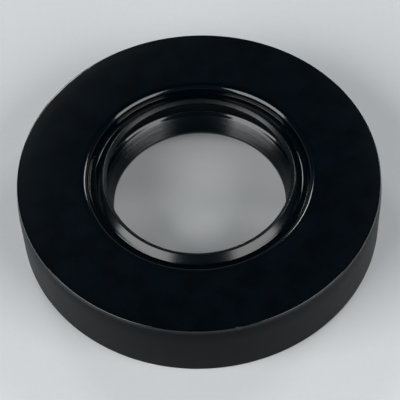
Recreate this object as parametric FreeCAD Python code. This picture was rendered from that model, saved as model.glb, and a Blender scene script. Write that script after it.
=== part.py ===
import FreeCAD, Part
import math
import os

# Radial shaft seal with a main lip, a dust lip, a steel case and a garter spring.
# The axis of the seal is Z. The oil side is at Z = 0 and faces down, and the air side
# is at Z = WIDTH and faces up. The origin is the middle of the oil-side rim.
# Every piece is a ring: its section is drawn as (radius, height) points, in
# millimetres, and turned about Z. A third number rounds the corner at that point.

# Overall size: the shaft, the housing bore and the width name the seal
SHAFT_D = 25.0
HOUSING_D = 50.0
WIDTH = 10.0

# Outer wall of the rubber, which the housing bore squeezes
COVER_WALL = 0.9        # rubber outside the steel case
CROWN_HEIGHT = 2.0      # the air-side end of the wall tapers over this height
CROWN_DEPTH = 0.2
CROWN_BLEND = 20.0      # radius that blends the taper into the wall
RIM_RADIUS = 0.15       # edge between the wall and the air-side face
BEVEL_WIDTH = 1.9       # faint fall of the face towards the rim
BEVEL_DROP = 0.15
TOE_CHAMFER = 0.4       # outer edge of the oil-side rim
TOE_RADIUS = 0.3        # inner edge of the oil-side rim

# Steel case, an L-section ring inside the rubber
SHEET = 1.0             # thickness of the steel
BEND_RADIUS = 0.6       # inside radius of the bend
FACE_COVER = 0.8        # rubber over the steel on the air side
INNER_COVER = 0.5       # rubber skin on the oil side of the steel
TOE_COVER = 0.8         # rubber below the end of the steel wall
HEEL_COVER = 1.0        # rubber round the inner edge of the steel flange

# Groove between the flat face and the dust lip
NECK_GAP = 2.55         # from the shaft to the groove's outer wall
NECK_RADIUS = 0.9       # edge between the face and the groove
GROOVE_DEPTH = 1.25     # below the air-side face
GROOVE_RADIUS = 0.1
NECK_SLOPE = 82.0       # slope of the groove's outer wall, in degrees

# Dust lip
DUST_GAP = 0.1          # radial clearance of the dust lip round the shaft
DUST_RECESS = 0.62      # its inner edge below the air-side face
DUST_LAND = 0.52        # width of its tip, which falls towards the shaft
LAND_SLOPE = 35.0       # slope of the tip, in degrees
DUST_SLOPE = 43.5       # slope of its outer side, in degrees
DUST_CREST = 0.15       # radius between the tip and the outer side
DUST_FOOT = 0.5         # radius between the outer side and the groove
DUST_BACK = 1.2         # height of its flared inner side
DUST_FLARE = 0.6        # the inner side widens by this much over that height

# Throat, membrane and main lip
THROAT_GAP = 1.1        # radial room between the shaft and the throat at its widest
THROAT_DEPTH = 3.6      # from the air-side face to the throat's widest place
THROAT_EDGE = 0.3
LEDGE_WIDTH = 0.3       # small ledge above the main lip's air side
LEDGE_DROP = 0.35
LEDGE_EDGE = 0.2
SHOULDER_RADIUS = 0.4   # edge between the ledge and the main lip's air side
LIP_SWELL = 0.1         # the air side bulges this much past a straight cone
SWELL_RADIUS = 4.0
LIP_GRIP = 0.5          # the free lip is this much smaller than the shaft, in radius
LIP_LAND = 0.3          # height of the sealing band on the lip
LIP_HEIGHT = 3.15       # lower edge of the sealing band above the oil-side rim
NOSE_HEIGHT = 2.0       # underside of the lip above the oil-side rim
NOSE_RADIUS = 0.25
MEMBRANE = 1.25         # thickness of the membrane beside the throat

# Garter spring and its seat behind the main lip
COIL_D = 1.7            # outer diameter of the spring's coil
SPRING_RISE = 0.4       # the spring lies this much above the sealing band
SEAT_WALL = 1.0         # rubber between the sealing band's radius and the spring
SEAT_CLEARANCE = 0.02
SEAT_WRAP = 0.2         # the seat's mouth lies this far outside the coil's centre

# Pockets that the mould's supports leave in the skin under the steel flange
POCKETS = 6
POCKET_WIDTH = 3.0
POCKET_LENGTH = 1.6

# Radii worked out from the sizes above
shaft_r = SHAFT_D / 2
outer_r = HOUSING_D / 2
rim_r = outer_r - CROWN_DEPTH
case_r = outer_r - COVER_WALL
case_inner_r = case_r - SHEET
cavity_r = case_inner_r - INNER_COVER
neck_r = shaft_r + NECK_GAP
flange_r = neck_r + HEEL_COVER
tip_r = shaft_r + DUST_GAP
crest_r = tip_r + DUST_LAND
throat_r = shaft_r + THROAT_GAP
shoulder_r = throat_r - LEDGE_WIDTH
lip_r = shaft_r - LIP_GRIP
back_r = throat_r + MEMBRANE
coil_r = COIL_D / 2
spring_r = lip_r + LIP_GRIP + SEAT_WALL + coil_r
mouth_r = spring_r + SEAT_WRAP

# Heights worked out from the sizes above
flange_top = WIDTH - FACE_COVER
flange_bottom = flange_top - SHEET
roof_z = flange_bottom - INNER_COVER
groove_z = WIDTH - GROOVE_DEPTH
tip_z = WIDTH - DUST_RECESS
crest_z = tip_z + DUST_LAND * math.tan(math.radians(LAND_SLOPE))
throat_z = WIDTH - THROAT_DEPTH
shoulder_z = throat_z - LEDGE_DROP
lip_top = LIP_HEIGHT + LIP_LAND
spring_z = LIP_HEIGHT + LIP_LAND / 2 + SPRING_RISE


def at(radius, height):
    """Point of a section, in the XZ plane."""
    return FreeCAD.Vector(radius, 0, height)


def rounded_corner(before, corner, after, radius):
    """Start, middle and end of the arc that rounds a corner of a section."""
    back = (before - corner).normalize()
    ahead = (after - corner).normalize()
    half_angle = back.getAngle(ahead) / 2
    reach = radius / math.tan(half_angle)
    inward = (back + ahead).normalize()
    middle = corner + inward * (radius / math.sin(half_angle) - radius)
    return corner + back * reach, middle, corner + ahead * reach


def section(corners):
    """Flat face bounded by straight sides, with the given corners rounded."""
    points = [at(*corner[:2]) for corner in corners]
    joins = []
    for i, corner in enumerate(corners):
        if len(corner) == 3:
            after = points[(i + 1) % len(points)]
            joins.append(rounded_corner(points[i - 1], points[i], after, corner[2]))
        else:
            joins.append((points[i],))
    edges = []
    for i, join in enumerate(joins):
        if len(join) == 3:
            edges.append(Part.Arc(*join).toShape())
        edges.append(Part.makeLine(join[-1], joins[(i + 1) % len(joins)][0]))
    return Part.Face(Part.Wire(edges))


def ring(corners):
    """Solid ring with the given section."""
    return section(corners).revolve(at(0, 0), FreeCAD.Vector(0, 0, 1), 360)


def outer_wall():
    """Side that meets the housing, from the oil-side rim up to the face's bevel."""
    return [
        (outer_r - TOE_CHAMFER, 0),
        (outer_r, TOE_CHAMFER),
        (outer_r, WIDTH - CROWN_HEIGHT, CROWN_BLEND),
        (rim_r, WIDTH - BEVEL_DROP, RIM_RADIUS),
        (rim_r - BEVEL_WIDTH, WIDTH),
    ]


def face_groove():
    """Flat face's inner edge and the groove that frees the dust lip."""
    lean = GROOVE_DEPTH / math.tan(math.radians(NECK_SLOPE))
    return [
        (neck_r + lean / 2, WIDTH, NECK_RADIUS),
        (neck_r - lean / 2, groove_z, GROOVE_RADIUS),
    ]


def dust_lip():
    """Groove's inner corner, the lip's outer slope, its tip and its flared back."""
    run = (crest_z - groove_z) / math.tan(math.radians(DUST_SLOPE))
    return [
        (crest_r + run, groove_z, DUST_FOOT),
        (crest_r, crest_z, DUST_CREST),
        (tip_r, tip_z),
        (tip_r + DUST_FLARE, tip_z - DUST_BACK, THROAT_EDGE),
    ]


def main_lip():
    """Throat, ledge, swollen air side, sealing band, oil-side cone and nose."""
    middle_r = (shoulder_r + lip_r) / 2
    middle_z = (shoulder_z + lip_top) / 2
    nose_r = lip_r + (LIP_HEIGHT - NOSE_HEIGHT)
    return [
        (throat_r, throat_z, LEDGE_EDGE),
        (shoulder_r, shoulder_z, SHOULDER_RADIUS),
        (middle_r - LIP_SWELL, middle_z, SWELL_RADIUS),
        (lip_r, lip_top),
        (lip_r, LIP_HEIGHT),
        (nose_r, NOSE_HEIGHT, NOSE_RADIUS),
        (mouth_r, NOSE_HEIGHT, NOSE_RADIUS),
    ]


def membrane_and_cavity():
    """Back of the lip, the membrane, the cavity's roof and wall, and the oil-side rim."""
    return [
        (mouth_r, spring_z + coil_r, THROAT_EDGE),
        (back_r, throat_z, MEMBRANE),
        (flange_r, roof_z, THROAT_EDGE),
        (cavity_r, roof_z, BEND_RADIUS),
        (cavity_r, 0, TOE_RADIUS),
    ]


def make_steel_case():
    """Pressed ring: a wall under the outer rubber and a flange under the face."""
    return ring([
        (case_inner_r, TOE_COVER),
        (case_r, TOE_COVER),
        (case_r, flange_top, BEND_RADIUS + SHEET),
        (flange_r, flange_top),
        (flange_r, flange_bottom),
        (case_inner_r, flange_bottom, BEND_RADIUS),
    ])


def make_garter_spring():
    """Close-wound coil joined end to end, as the smooth ring that its turns fill."""
    return Part.makeTorus(spring_r, coil_r, at(0, spring_z))


def spring_seat():
    """Space that the rubber leaves for the spring."""
    return Part.makeTorus(spring_r, coil_r + SEAT_CLEARANCE, at(0, spring_z))


def mould_pockets():
    """Small pockets in the cavity's roof, down to the bare steel."""
    middle = (flange_r + cavity_r) / 2
    pockets = []
    for number in range(POCKETS):
        pocket = Part.makeBox(
            POCKET_LENGTH, POCKET_WIDTH, INNER_COVER,
            FreeCAD.Vector(middle - POCKET_LENGTH / 2, -POCKET_WIDTH / 2, roof_z))
        turn = 360 / POCKETS * (number + 0.5)
        pocket.rotate(at(0, 0), FreeCAD.Vector(0, 0, 1), turn)
        pockets.append(pocket)
    return pockets


def make_rubber_body(steel_case):
    """One moulding: outer cover, face, dust lip, membrane and main lip."""
    moulding = ring(
        outer_wall() + face_groove() + dust_lip() + main_lip() + membrane_and_cavity())
    return moulding.cut([steel_case, spring_seat()] + mould_pockets())


def save(name, shape):
    """Write one piece, with its checks, to its own file."""
    solid = shape.Solids[0]
    assert len(shape.Solids) == 1 and solid.isValid(), name
    solid.exportStep(os.path.join("parts", name + ".step"))
    print(name, "volume", round(solid.Volume, 1), "mm3")


os.makedirs("parts", exist_ok=True)
steel_case = make_steel_case()
save("rubber_body", make_rubber_body(steel_case))
save("steel_case", steel_case)
save("garter_spring", make_garter_spring())
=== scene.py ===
import math

import bpy
from mathutils import Matrix, Vector


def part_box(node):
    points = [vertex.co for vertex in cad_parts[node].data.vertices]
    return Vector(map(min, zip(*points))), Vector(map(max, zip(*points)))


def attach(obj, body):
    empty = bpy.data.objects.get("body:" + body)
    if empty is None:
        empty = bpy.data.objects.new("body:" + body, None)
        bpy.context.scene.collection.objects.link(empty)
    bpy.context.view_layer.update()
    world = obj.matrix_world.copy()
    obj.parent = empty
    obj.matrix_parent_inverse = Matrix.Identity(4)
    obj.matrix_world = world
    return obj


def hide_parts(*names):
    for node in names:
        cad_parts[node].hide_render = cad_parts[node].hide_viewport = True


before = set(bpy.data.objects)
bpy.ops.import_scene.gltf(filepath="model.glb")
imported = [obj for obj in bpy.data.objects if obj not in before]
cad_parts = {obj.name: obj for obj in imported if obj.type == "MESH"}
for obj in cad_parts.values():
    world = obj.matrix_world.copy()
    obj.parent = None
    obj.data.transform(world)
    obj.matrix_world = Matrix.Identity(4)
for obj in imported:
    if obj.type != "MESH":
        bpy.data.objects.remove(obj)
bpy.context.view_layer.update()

# Looks of a radial shaft seal: the rubber moulding with its worn rim, the bare steel
# behind the mould's pockets, and the garter spring's wire coil. Sizes are in
# millimetres and degrees, and MM turns a length into metres. The axis is Z, and the
# air side faces up. Corners are given as (radius, height).
MM = 0.001

# Size of the seal, from the frame
rubber_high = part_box("rubber_body")[1]
OUTER_R = rubber_high[0] / MM
WIDTH = rubber_high[2] / MM
steel_low, steel_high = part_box("steel_case")
CASE_R = steel_high[0] / MM
CASE_FOOT = steel_low[2] / MM
CASE_TOP = steel_high[2] / MM
spring_low, spring_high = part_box("garter_spring")
COIL_R = (spring_high[2] - spring_low[2]) / 2 / MM
SPRING_Z = (spring_high[2] + spring_low[2]) / 2 / MM
SPRING_R = spring_high[0] / MM - COIL_R

# Outer wall and rim
TOE_CHAMFER = 0.4
TOE_RADIUS = 0.3
CROWN_HEIGHT = 2.0      # the air-side end of the wall tapers over this height
CROWN_DEPTH = 0.2
CROWN_BLEND = 20.0
RIM_RADIUS = 0.15
BEVEL_WIDTH = 1.9       # faint fall of the face towards the rim
BEVEL_DROP = 0.15

# Groove between the face and the dust lip
NECK_R = 15.05          # middle of the groove's outer wall
NECK_SLOPE = 82.0
NECK_RADIUS = 0.9
GROOVE_DEPTH = 1.25
GROOVE_RADIUS = 0.1

# Dust lip
TIP_R = 12.6
TIP_DEPTH = 0.62
LAND_WIDTH = 0.52       # its tip falls towards the shaft over this width
LAND_SLOPE = 35.0
DUST_SLOPE = 43.5
CREST_RADIUS = 0.15
FOOT_RADIUS = 0.5
BACK_HEIGHT = 1.2       # its inner side flares over this height
BACK_FLARE = 0.6
THROAT_EDGE = 0.3

# Throat, main lip and membrane
THROAT = (13.76, 6.05)
LEDGE_EDGE = 0.12
SHOULDER = (13.56, 5.85)
SHOULDER_RADIUS = 0.25
SWELL = (12.76, 4.68)
SWELL_RADIUS = 4.0
LIP_R = 12.0
LIP_TOP = 3.45
LIP_BOTTOM = 3.15
NOSE_Z = 2.0
NOSE_RADIUS = 0.25
SEAT_WRAP = 0.2         # the seat's mouth lies this far outside the coil's centre
SEAT_CLEARANCE = 0.02
MOUTH_R = SPRING_R + SEAT_WRAP
SEAT_R = COIL_R + SEAT_CLEARANCE
MEMBRANE = (14.85, 6.4)
MEMBRANE_RADIUS = 1.25
FLANGE_R = 16.05

# Steel case, the rubber under it, and the pockets that the mould's supports leave
SHEET = 1.0
BEND_RADIUS = 0.6
INNER_COVER = 0.5
CAVITY_R = CASE_R - SHEET - INNER_COVER
ROOF_Z = CASE_TOP - SHEET - INNER_COVER
POCKETS = 6
POCKET_WIDTH = 3.0
POCKET_LENGTH = 1.6
POCKET_CUTTER = 0.6     # height of the block that cuts a pocket

# Fineness of the rings and of their rounded corners
RING_STEPS = 384
STEP_ANGLE = 7.0        # turn of each short side of a rounded corner
FEWEST_SIDES = 2
WELD = 0.0005           # points nearer than this are one
SMOOTH_ANGLE = 24.0

# Small unevenness of the rim, where it was trimmed and has been handled
RIM_BAND = (24.4, 9.5)  # the rim lies beyond this radius and height
RIM_WAVE = 1.6          # length of its waves
RIM_DEPTH = 0.035
NICK_ANGLE = -79.5
NICK_DEPTH = 0.1
NICK_REACH = 0.7        # the nick fades out at this distance
NICK_CORE = NICK_REACH / 3

# Garter spring
WIRE_R = 0.15
TURNS = 296
TURN_POINTS = 14
WIRE_BEVEL = 2          # bevel resolution of the wire, which gives it eight sides

# Zones of the rubber's finish. Each edge is a pair of places between which the zone
# fades: inner and outer are radii, and foot and head are heights.
WALL = {"inner": (24.75, 24.9)}
FLAT = {"inner": (15.95, 16.5), "outer": (24.5, 24.6), "foot": (9.2, 9.4)}
BEVEL = {"inner": (22.0, 23.5)}
FACE = {"inner": (15.6, 16.2), "foot": (9.7, 9.95)}
NECK = {"inner": (13.9, 14.1), "foot": (8.3, 8.6)}
TRIMMED = {"outer": (13.05, 13.2), "foot": (9.2, 9.4)}
THROAT_WALL = {
    "inner": (12.9, 13.05), "outer": (13.9, 14.0), "foot": (6.1, 6.25), "head": (8.3, 8.5)}
SHOULDER_BAND = {"outer": (13.9, 14.0), "foot": (5.45, 5.6), "head": (6.2, 6.4)}
AIR_SIDE = {
    "inner": (11.5, 11.9), "outer": (13.3, 13.45), "foot": (3.3, 3.5), "head": (5.4, 5.6)}

# Patterns of the finishes: features per millimetre, detail and roughness of the noise
PATTERNS = {
    "bloom": (0.28, 5.0, 0.62),
    "smudges": (0.75, 3.0, 0.55),
    "skin": (2.2, 3.0, 0.55),
    "streaks": (1.0, 3.0, 0.6),
    "tool marks": (14.0, 2.0, 0.5),
    "crystals": (9.0, 3.0, 0.6),
    "case stains": (0.5, 3.0, 0.6),
    "wire stains": (0.8, 3.0, 0.6),
    "drawing marks": (14.0, 2.0, 0.5),
    "paper fibres": (1.5, 3.0, 0.6),
}

# Rubber: the roughness where it is glossy and where it is matt, and what each pattern
# or zone adds to it or takes off
GLOSSY = 0.2
STREAKS = 0.05
TRIM_DULLING = 0.08
NECK_POLISH = 0.09
SHOULDER_POLISH = 0.08
MATT = 0.38
SMUDGES = 0.04
GLOSSY_SPECULAR = 0.52
MATT_SPECULAR = 0.07
FACE_MATTNESS = 0.75    # share of the matt finish on the face
BLOOM_OFF_FACE = 0.35   # share of the bloom off the face
BLOOM_FADE = (0.34, 0.68)
SMUDGE_FADE = (0.42, 0.72)
# Blacks of the rubber: their blue-green tint is partly the rubber's own blue-black and partly a
# painted reflection of blue surroundings; the bloom's bluer black carries more of it
BLACK_WITH_PAINTED_BLUE = (0.0004, 0.0013, 0.0021, 1)
BLOOM_WITH_PAINTED_BLUE = (0.0006, 0.0027, 0.0046, 1)
SKIN_DEPTH = 0.0008
TOOL_MARK_DEPTH = 0.025
STREAKS_ROUND = 9.0     # streaks to a radian, as they run down the lips
STREAKS_DOWN = 0.35     # and to a millimetre along them

# Steel case: grey crystals, and stains between two greys
CASE_DARK = (0.20, 0.20, 0.19, 1)
CASE_PALE = (0.36, 0.36, 0.35, 1)
CASE_METAL = 0.85
CASE_STAIN_FADE = (0.35, 0.7)
CASE_ROUGHNESS = 0.42
CRYSTAL_ROUGHNESS = 0.2
CRYSTAL_DEPTH = 0.01

# Spring wire: bright, with oil stains
WIRE_BRIGHT = (0.62, 0.61, 0.59, 1)
WIRE_OILY = (0.34, 0.31, 0.27, 1)
WIRE_STAIN_FADE = (0.4, 0.75)
WIRE_ROUGHNESS = 0.24
OIL_ROUGHNESS = 0.1
DRAWING_ROUGHNESS = 0.16
DRAWING_DEPTH = 0.002

# Paper under the seal
PAPER_DARK = (0.66, 0.67, 0.68, 1)
PAPER_PALE = (0.70, 0.71, 0.72, 1)
PAPER_ROUGHNESS = 0.7
FIBRE_ROUGHNESS = 0.1

# Camera, at the angle of the photograph
CAMERA_TARGET = (0.03, -1.0, 5.0)
CAMERA_DISTANCE = 223.0
CAMERA_ELEVATION = 55.14
CAMERA_ROLL = -2.69
LENS = 145.0
SENSOR = 36.0

# Stage and lights: each soft box has a bearing from +X, a height angle, a width, a
# height, and a brightness at its face
FLOOR_SIZE = 14000.0
LIGHT_DISTANCE = 600.0
SOFT_BOXES = {
    "front_right": (-36.0, 33.0, 420.0, 400.0, 4.7),
    "front_left": (-149.5, 31.5, 510.0, 440.0, 5.4),
    "back_right": (46.0, 37.0, 190.0, 120.0, 8.0),
    "back_left": (113.0, 36.8, 140.0, 80.0, 13.0),
}

# Room round the stage, as colours at sines of the height angle: a pale backdrop along
# the horizon, dim walls, and a darker ceiling
ROOM_LEVELS = [
    (0.0, (0.4, 0.4, 0.4)),
    (0.12, (0.4, 0.4, 0.4)),
    (0.18, (0.026, 0.05, 0.066)),
    (0.72, (0.026, 0.05, 0.066)),
    (0.95, (0.006, 0.01, 0.013)),
]


def polar(radius, angle, height):
    """Point at a radius, an angle in degrees and a height, in metres."""
    turn = math.radians(angle)
    return Vector((radius * math.cos(turn), radius * math.sin(turn), height)) * MM


def select_nothing():
    """Deselect every object and leave edit mode."""
    if bpy.context.object and bpy.context.object.mode == "EDIT":
        bpy.ops.object.mode_set(mode="OBJECT")
    bpy.ops.object.select_all(action="DESELECT")


def select_only(*objects):
    """Select these objects alone and make the first one active."""
    select_nothing()
    for piece in objects:
        piece.select_set(True)
    bpy.context.view_layer.objects.active = objects[0]


def select_vertices(piece, chosen):
    """In edit mode, select just the vertices whose place passes the test."""
    bpy.ops.mesh.select_mode(type="VERT")
    bpy.ops.mesh.select_all(action="DESELECT")
    bpy.ops.object.mode_set(mode="OBJECT")
    for vertex in piece.data.vertices:
        vertex.select = chosen(vertex.co)
    bpy.ops.object.mode_set(mode="EDIT")


def corner_reach(before, corner, after, radius):
    """Length of side that rounding a corner uses up, and how far the sides turn."""
    back = (before - corner).normalized()
    ahead = (after - corner).normalized()
    turn = math.pi - back.angle(ahead)
    return radius * math.tan(turn / 2), math.degrees(turn)


def draw_section(name, corners):
    """Closed outline of a ring's section, extruded side by side, with rounded corners."""
    points = [polar(corner[0], 0, corner[1]) for corner in corners]
    select_nothing()
    bpy.ops.mesh.primitive_plane_add(size=MM, location=points[0])
    outline = bpy.context.object
    outline.name = name
    bpy.ops.object.transform_apply(location=True, rotation=True, scale=True)
    bpy.ops.object.mode_set(mode="EDIT")
    bpy.ops.mesh.select_all(action="SELECT")
    bpy.ops.mesh.merge(type="CENTER")
    for here, there in zip(points, points[1:]):
        bpy.ops.mesh.extrude_region_move(TRANSFORM_OT_translate={"value": there - here})
    ends = (points[0], points[-1])
    select_vertices(
        outline, lambda place: any((place - end).length < WELD * MM for end in ends))
    bpy.ops.mesh.edge_face_add()
    for i, corner in enumerate(corners):
        if len(corner) == 3:
            after = points[(i + 1) % len(points)]
            reach, turn = corner_reach(points[i - 1], points[i], after, corner[2] * MM)
            select_vertices(outline, lambda place: (place - points[i]).length < WELD * MM)
            sides = max(FEWEST_SIDES, round(turn / STEP_ANGLE))
            bpy.ops.mesh.bevel(offset=reach, segments=sides, affect="VERTICES")
    return outline


def spin_ring(outline, inside_out=False):
    """Turn a section about the axis into a closed ring."""
    select_only(outline)
    bpy.ops.object.mode_set(mode="EDIT")
    bpy.ops.mesh.select_all(action="SELECT")
    bpy.ops.mesh.spin(steps=RING_STEPS, angle=math.tau, center=(0, 0, 0), axis=(0, 0, 1))
    bpy.ops.mesh.select_all(action="SELECT")
    bpy.ops.mesh.remove_doubles(threshold=WELD * MM)
    bpy.ops.mesh.normals_make_consistent(inside=inside_out)
    bpy.ops.object.mode_set(mode="OBJECT")
    return outline


def groove_corners():
    """Edge of the face, groove, and dust lip down to its flared back."""
    lean = GROOVE_DEPTH / math.tan(math.radians(NECK_SLOPE))
    floor = WIDTH - GROOVE_DEPTH
    crest_r = TIP_R + LAND_WIDTH
    tip_z = WIDTH - TIP_DEPTH
    crest_z = tip_z + LAND_WIDTH * math.tan(math.radians(LAND_SLOPE))
    run = (crest_z - floor) / math.tan(math.radians(DUST_SLOPE))
    return [
        (NECK_R + lean / 2, WIDTH, NECK_RADIUS),
        (NECK_R - lean / 2, floor, GROOVE_RADIUS),
        (crest_r + run, floor, FOOT_RADIUS),
        (crest_r, crest_z, CREST_RADIUS),
        (TIP_R, tip_z),
        (TIP_R + BACK_FLARE, tip_z - BACK_HEIGHT, THROAT_EDGE),
    ]


def moulding_corners():
    """Corners of the rubber's section: radius, height and rounding."""
    rim_r = OUTER_R - CROWN_DEPTH
    return [
        (OUTER_R - TOE_CHAMFER, 0),
        (OUTER_R, TOE_CHAMFER),
        (OUTER_R, WIDTH - CROWN_HEIGHT, CROWN_BLEND),
        (rim_r, WIDTH - BEVEL_DROP, RIM_RADIUS),
        (rim_r - BEVEL_WIDTH, WIDTH),
        *groove_corners(),
        (*THROAT, LEDGE_EDGE),
        (*SHOULDER, SHOULDER_RADIUS),
        (*SWELL, SWELL_RADIUS),
        (LIP_R, LIP_TOP),
        (LIP_R, LIP_BOTTOM),
        (LIP_R + LIP_BOTTOM - NOSE_Z, NOSE_Z, NOSE_RADIUS),
        (MOUTH_R, NOSE_Z, NOSE_RADIUS),
        *seat_corners(),
        (*MEMBRANE, MEMBRANE_RADIUS),
        (FLANGE_R, ROOF_Z, THROAT_EDGE),
        (CAVITY_R, ROOF_Z, BEND_RADIUS),
        (CAVITY_R, 0, TOE_RADIUS),
    ]


def seat_corners():
    """Round seat of the spring, from the mouth's lower edge to its upper one."""
    opening = math.degrees(math.acos((MOUTH_R - SPRING_R) / SEAT_R))
    sides = round((360 - 2 * opening) / (2 * STEP_ANGLE))
    step = (360 - 2 * opening) / sides
    places = []
    for number in range(sides + 1):
        angle = math.radians(-opening - step * number)
        radius = SPRING_R + SEAT_R * math.cos(angle)
        places.append((radius, SPRING_Z + SEAT_R * math.sin(angle)))
    return places


def case_corners():
    """Corners of the steel case's section, which is a hollow in the rubber."""
    inner_r = CASE_R - SHEET
    return [
        (inner_r, CASE_FOOT),
        (CASE_R, CASE_FOOT),
        (CASE_R, CASE_TOP, BEND_RADIUS + SHEET),
        (FLANGE_R, CASE_TOP),
        (FLANGE_R, CASE_TOP - SHEET),
        (inner_r, CASE_TOP - SHEET, BEND_RADIUS),
    ]


def cut_pockets(rubber):
    """Cut the mould supports' pockets through the skin under the steel flange."""
    middle = (FLANGE_R + CAVITY_R) / 2
    for number in range(POCKETS):
        turn = 360 / POCKETS * (number + 0.5)
        select_nothing()
        bpy.ops.mesh.primitive_cube_add(
            size=1, location=polar(middle, turn, ROOF_Z + INNER_COVER / 2),
            rotation=(0, 0, math.radians(turn)),
            scale=(POCKET_LENGTH * MM, POCKET_WIDTH * MM, POCKET_CUTTER * MM))
        cutter = bpy.context.object
        select_only(rubber)
        cut = rubber.modifiers.new("pocket", "BOOLEAN")
        cut.operation = "DIFFERENCE"
        cut.solver = "EXACT"
        cut.object = cutter
        bpy.ops.object.modifier_apply(modifier=cut.name)
        bpy.data.objects.remove(cutter)


def wear_rim(rubber):
    """Make the rim slightly uneven, with one small nick towards the viewer."""
    select_only(rubber)
    band = rubber.vertex_groups.new(name="rim")
    for vertex in rubber.data.vertices:
        radius = vertex.co.xy.length / MM
        if radius > RIM_BAND[0] and vertex.co.z / MM > RIM_BAND[1]:
            band.add([vertex.index], 1.0, "ADD")
    waves = bpy.data.textures.new("rim_waves", "CLOUDS")
    waves.noise_scale = RIM_WAVE * MM
    uneven = rubber.modifiers.new("uneven", "DISPLACE")
    uneven.texture = waves
    uneven.texture_coords = "LOCAL"
    uneven.vertex_group = band.name
    uneven.mid_level = 1.0
    uneven.strength = RIM_DEPTH * MM
    bpy.ops.object.modifier_apply(modifier=uneven.name)
    nick = polar(OUTER_R - CROWN_DEPTH, NICK_ANGLE, WIDTH - BEVEL_DROP)
    bpy.ops.object.mode_set(mode="EDIT")
    select_vertices(rubber, lambda place: (place - nick).length < NICK_CORE * MM)
    push = Vector((-nick.x, -nick.y, -nick.xy.length)).normalized() * NICK_DEPTH * MM
    bpy.ops.transform.translate(
        value=push, use_proportional_edit=True, proportional_edit_falloff="SHARP",
        proportional_size=NICK_REACH * MM)
    bpy.ops.object.mode_set(mode="OBJECT")


def make_rubber():
    """The moulding, with the hollow that the steel case fills."""
    rubber = spin_ring(draw_section("rubber_moulding", moulding_corners()))
    hollow = spin_ring(draw_section("case_hollow", case_corners()), inside_out=True)
    select_only(rubber, hollow)
    bpy.ops.object.join()
    cut_pockets(rubber)
    wear_rim(rubber)
    select_only(rubber)
    bpy.ops.object.shade_smooth_by_angle(angle=math.radians(SMOOTH_ANGLE))
    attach(rubber, "root")
    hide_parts("rubber_body")
    return rubber


def make_spring():
    """Close-wound coil of wire, joined end to end into a ring."""
    path = bpy.data.curves.new("garter_coil", "CURVE")
    path.dimensions = "3D"
    path.bevel_depth = WIRE_R * MM
    path.bevel_resolution = WIRE_BEVEL
    coil = path.splines.new("POLY")
    count = TURNS * TURN_POINTS
    coil.points.add(count - 1)
    turn_r = COIL_R - WIRE_R
    for number, point in enumerate(coil.points):
        wind = math.tau * number / TURN_POINTS
        reach = SPRING_R + turn_r * math.cos(wind)
        place = polar(reach, 360 * number / count, SPRING_Z + turn_r * math.sin(wind))
        point.co = (*place, 1)
    coil.use_cyclic_u = True
    spring = bpy.data.objects.new("garter_coil", path)
    bpy.context.scene.collection.objects.link(spring)
    select_only(spring)
    bpy.ops.object.convert(target="MESH")
    spring = bpy.context.object
    bpy.ops.object.shade_smooth()
    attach(spring, "root")
    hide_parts("garter_spring")
    return spring


class Value:
    """Output of a node, with arithmetic that adds Math nodes."""

    def __init__(self, nodes, socket):
        self.nodes = nodes
        self.socket = socket

    def maths(self, operation, first, second):
        """Math node on two values or numbers."""
        return self.nodes.node("ShaderNodeMath", {"operation": operation}, {0: first, 1: second})

    def __add__(self, other):
        return self.maths("ADD", self, other)

    def __radd__(self, other):
        return self.maths("ADD", other, self)

    def __sub__(self, other):
        return self.maths("SUBTRACT", self, other)

    def __rsub__(self, other):
        return self.maths("SUBTRACT", other, self)

    def __mul__(self, other):
        return self.maths("MULTIPLY", self, other)

    def __rmul__(self, other):
        return self.maths("MULTIPLY", other, self)

    def __pow__(self, other):
        return self.maths("POWER", self, other)

    def rising(self, low, high):
        """0 below low, 1 above high and a smooth step between them."""
        settings = {"interpolation_type": "SMOOTHSTEP"}
        return self.nodes.node("ShaderNodeMapRange", settings, {0: self, 1: low, 2: high})

    def falling(self, low, high):
        """1 below low, 0 above high and a smooth step between them."""
        return 1 - self.rising(low, high)


class Nodes:
    """Nodes of the world or of one material."""

    def __init__(self, owner):
        owner.use_nodes = True
        self.tree = owner.node_tree

    def node(self, kind, settings, inputs, output=0):
        """Add a node, set it, feed its sockets and give one of its outputs."""
        node = self.tree.nodes.new(kind)
        for setting, value in settings.items():
            if setting == "stops":
                self.set_stops(node.color_ramp, value)
            else:
                setattr(node, setting, value)
        for socket, value in inputs.items():
            self.feed(node.inputs[socket], value)
        return Value(self, node.outputs[output])

    def set_stops(self, ramp, stops):
        """Give a colour ramp its stops, a place and a colour each, eased between them."""
        ramp.interpolation = "EASE"
        for number, (place, colour) in enumerate(stops):
            stop = ramp.elements[number] if number < 2 else ramp.elements.new(place)
            stop.position = place
            stop.color = (*colour, 1)

    def feed(self, socket, value):
        """Set a socket to a number, or link it."""
        if isinstance(value, Value):
            self.tree.links.new(value.socket, socket)
        else:
            socket.default_value = value

    def separated(self, vector):
        """The three coordinates of a vector."""
        split = self.node("ShaderNodeSeparateXYZ", {}, {0: vector})
        outputs = split.socket.node.outputs
        return [Value(self, outputs[axis]) for axis in ("X", "Y", "Z")]


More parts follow.
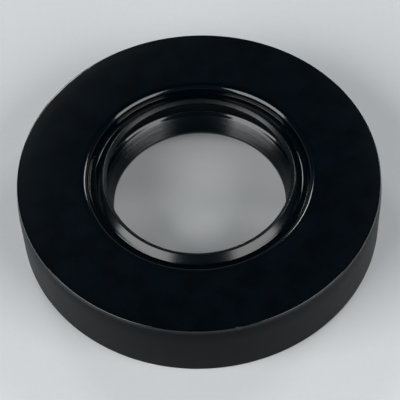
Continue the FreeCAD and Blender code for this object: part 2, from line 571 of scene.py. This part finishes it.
class Finish(Nodes):
    """Material built from nodes that are read in millimetres on the piece."""

    def __init__(self, name):
        self.material = bpy.data.materials.new(name)
        super().__init__(self.material)
        self.tree.nodes.remove(self.tree.nodes["Principled BSDF"])
        where = self.node("ShaderNodeTexCoord", {}, {}, "Object")
        scale = (1 / MM, 1 / MM, 1 / MM)
        self.place = self.node("ShaderNodeMapping", {}, {"Vector": where, "Scale": scale})

    def noise(self, pattern, place=None):
        """Soft noise of a named pattern, on the piece or at other coordinates."""
        scale, detail, roughness = PATTERNS[pattern]
        inputs = {"Scale": scale, "Detail": detail, "Roughness": roughness}
        inputs["Vector"] = place or self.place
        return self.node("ShaderNodeTexNoise", {}, inputs)

    def point(self, x, y, z):
        """Coordinates put together from three values."""
        return self.node("ShaderNodeCombineXYZ", {}, {0: x, 1: y, 2: z})

    def mix(self, factor, first, second):
        """Blend of two colours."""
        settings = {"data_type": "RGBA"}
        inputs = {"Factor": factor, 6: first, 7: second}
        return self.node("ShaderNodeMix", settings, inputs, 2)

    def bump(self, height, depth, before=None):
        """Surface tilted by a height, over the tilt that came before."""
        inputs = {"Height": height, "Distance": depth * MM, "Strength": 1.0}
        if before:
            inputs["Normal"] = before
        return self.node("ShaderNodeBump", {}, inputs)

    def shader(self, **sockets):
        """Principled shader, its sockets named with underscores for spaces."""
        inputs = {name.replace("_", " "): value for name, value in sockets.items()}
        return self.node("ShaderNodeBsdfPrincipled", {}, inputs)

    def blend(self, factor, first, second):
        """Blend of two shaders."""
        return self.node("ShaderNodeMixShader", {}, {0: factor, 1: first, 2: second})

    def finish(self, surface):
        """Give the material its surface."""
        self.feed(self.tree.nodes["Material Output"].inputs["Surface"], surface)
        return self.material


def zone(radius, height, edges):
    """1 inside a zone of the rubber and 0 outside it, with a fade at each edge."""
    fades = {
        "inner": radius.rising,
        "outer": radius.falling,
        "foot": height.rising,
        "head": height.falling,
    }
    masks = [fades[edge](*places) for edge, places in edges.items()]
    inside = masks[0]
    for mask in masks[1:]:
        inside = inside * mask
    return inside


def rubber_roughness(rubber, radius, height, angle):
    """Roughness of the glossy rubber: polished by the mould, streaked round the lips."""
    place = rubber.point(
        angle * STREAKS_ROUND, radius * STREAKS_DOWN, height * STREAKS_DOWN)
    streaks = rubber.noise("streaks", place)
    roughness = GLOSSY + STREAKS * (streaks - 0.5) * (1 - zone(radius, height, FACE))
    roughness = roughness + TRIM_DULLING * zone(radius, height, TRIMMED)
    roughness = roughness - NECK_POLISH * zone(radius, height, NECK)
    return roughness - SHOULDER_POLISH * zone(radius, height, SHOULDER_BAND)


def rubber_finish():
    """Black moulded nitrile: glossy groove and lips, matt face, wall and throat."""
    rubber = Finish("moulded_nitrile")
    x, y, height = rubber.separated(rubber.place)
    radius = (x * x + y * y) ** 0.5
    angle = y.maths("ARCTAN2", y, x)
    bloom = rubber.noise("bloom").rising(*BLOOM_FADE)
    bloom = bloom * (BLOOM_OFF_FACE + (1 - BLOOM_OFF_FACE) * zone(radius, height, FACE))
    # Base colour: mottled bloom between two blacks, whose blue-green tint is partly painted
    # reflection
    colour = rubber.mix(bloom, BLACK_WITH_PAINTED_BLUE, BLOOM_WITH_PAINTED_BLUE)
    marks = rubber.noise("tool marks", rubber.point(0.0, 0.0, height))
    tool_marks = rubber.bump(marks * zone(radius, height, AIR_SIDE), TOOL_MARK_DEPTH)
    skin = rubber.bump(rubber.noise("skin"), SKIN_DEPTH, tool_marks)
    glossy = rubber.shader(
        Base_Color=colour, Roughness=rubber_roughness(rubber, radius, height, angle),
        Normal=skin, Specular_IOR_Level=GLOSSY_SPECULAR)
    smudge = rubber.noise("smudges").rising(*SMUDGE_FADE)
    matt = rubber.shader(
        Base_Color=colour, Roughness=MATT + SMUDGES * smudge,
        Normal=skin, Specular_IOR_Level=MATT_SPECULAR)
    face_mattness = FACE_MATTNESS + (1 - FACE_MATTNESS) * zone(radius, height, BEVEL)
    mattness = zone(radius, height, WALL) + zone(radius, height, THROAT_WALL)
    mattness = mattness + face_mattness * zone(radius, height, FLAT)
    return rubber.finish(rubber.blend(mattness, glossy, matt))


def case_finish():
    """Phosphated sheet steel: dull grey crystals with faint stains."""
    steel = Finish("phosphated_steel")
    crystals = steel.noise("crystals")
    stain = steel.noise("case stains").rising(*CASE_STAIN_FADE)
    return steel.finish(steel.shader(
        Base_Color=steel.mix(stain, CASE_DARK, CASE_PALE),
        Roughness=CASE_ROUGHNESS + CRYSTAL_ROUGHNESS * crystals,
        Metallic=CASE_METAL, Normal=steel.bump(crystals, CRYSTAL_DEPTH)))


def spring_finish():
    """Drawn spring wire: bright, with faint drawing marks and oil stains."""
    wire = Finish("drawn_wire")
    stain = wire.noise("wire stains").rising(*WIRE_STAIN_FADE)
    marks = wire.noise("drawing marks")
    return wire.finish(wire.shader(
        Base_Color=wire.mix(stain, WIRE_BRIGHT, WIRE_OILY),
        Roughness=WIRE_ROUGHNESS + DRAWING_ROUGHNESS * marks + OIL_ROUGHNESS * stain,
        Metallic=1.0, Normal=wire.bump(marks, DRAWING_DEPTH)))


def floor_finish():
    """Pale matt paper."""
    paper = Finish("pale_paper")
    fibre = paper.noise("paper fibres")
    return paper.finish(paper.shader(
        Base_Color=paper.mix(fibre, PAPER_DARK, PAPER_PALE),
        Roughness=PAPER_ROUGHNESS + FIBRE_ROUGHNESS * fibre))


def dress(piece, material):
    """Put one material on a whole piece."""
    piece.data.materials.clear()
    piece.data.materials.append(material)


def make_stage():
    """Plain pale floor under the seal."""
    select_nothing()
    bpy.ops.mesh.primitive_plane_add(size=FLOOR_SIZE * MM, location=(0, 0, 0))
    floor = bpy.context.object
    floor.name = "floor"
    dress(floor, floor_finish())


def make_room():
    """World: a pale backdrop along the horizon, and a dim room above it."""
    world = bpy.data.worlds.new("room")
    bpy.context.scene.world = world
    room = Nodes(world)
    rise = room.separated(room.node("ShaderNodeTexCoord", {}, {}, "Generated"))[2]
    walls = room.node("ShaderNodeValToRGB", {"stops": ROOM_LEVELS}, {0: rise})
    room.feed(room.tree.nodes["Background"].inputs["Color"], walls)


def make_soft_box(name, bearing, height_angle, width, height, brightness):
    """Rectangular soft box that faces the seal; its power is brightness x area x pi."""
    lamp = bpy.data.lights.new(name, "AREA")
    lamp.shape = "RECTANGLE"
    lamp.size = width * MM
    lamp.size_y = height * MM
    lamp.energy = brightness * lamp.size * lamp.size_y * math.pi
    box = bpy.data.objects.new(name, lamp)
    bpy.context.scene.collection.objects.link(box)
    level = LIGHT_DISTANCE * math.cos(math.radians(height_angle))
    rise = LIGHT_DISTANCE * math.sin(math.radians(height_angle))
    box.location = polar(level, bearing, rise)
    middle = Vector((0, 0, WIDTH / 2 * MM))
    box.rotation_euler = (middle - box.location).to_track_quat("-Z", "Y").to_euler()
    box.visible_camera = False


def make_camera():
    """Camera where the photograph was taken from."""
    rise = math.radians(CAMERA_ELEVATION)
    roll = math.radians(CAMERA_ROLL)
    forward = Vector((0, math.cos(rise), -math.sin(rise)))
    level = Vector((1, 0, 0))
    upright = level.cross(forward)
    right = level * math.cos(roll) + upright * math.sin(roll)
    up = upright * math.cos(roll) - level * math.sin(roll)
    place = (Vector(CAMERA_TARGET) - forward * CAMERA_DISTANCE) * MM
    camera = bpy.data.objects.new("camera", bpy.data.cameras.new("camera"))
    bpy.context.scene.collection.objects.link(camera)
    axes = Matrix((right, up, -forward)).transposed().to_4x4()
    camera.matrix_world = Matrix.Translation(place) @ axes
    camera.data.sensor_width = SENSOR
    camera.data.lens = LENS
    camera.data.clip_start = MM
    bpy.context.scene.camera = camera


make_camera()
make_stage()
make_room()
for name, settings in SOFT_BOXES.items():
    make_soft_box(name, *settings)
bpy.context.scene.view_settings.view_transform = "Standard"

dress(make_rubber(), rubber_finish())
dress(make_spring(), spring_finish())
dress(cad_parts["steel_case"], case_finish())
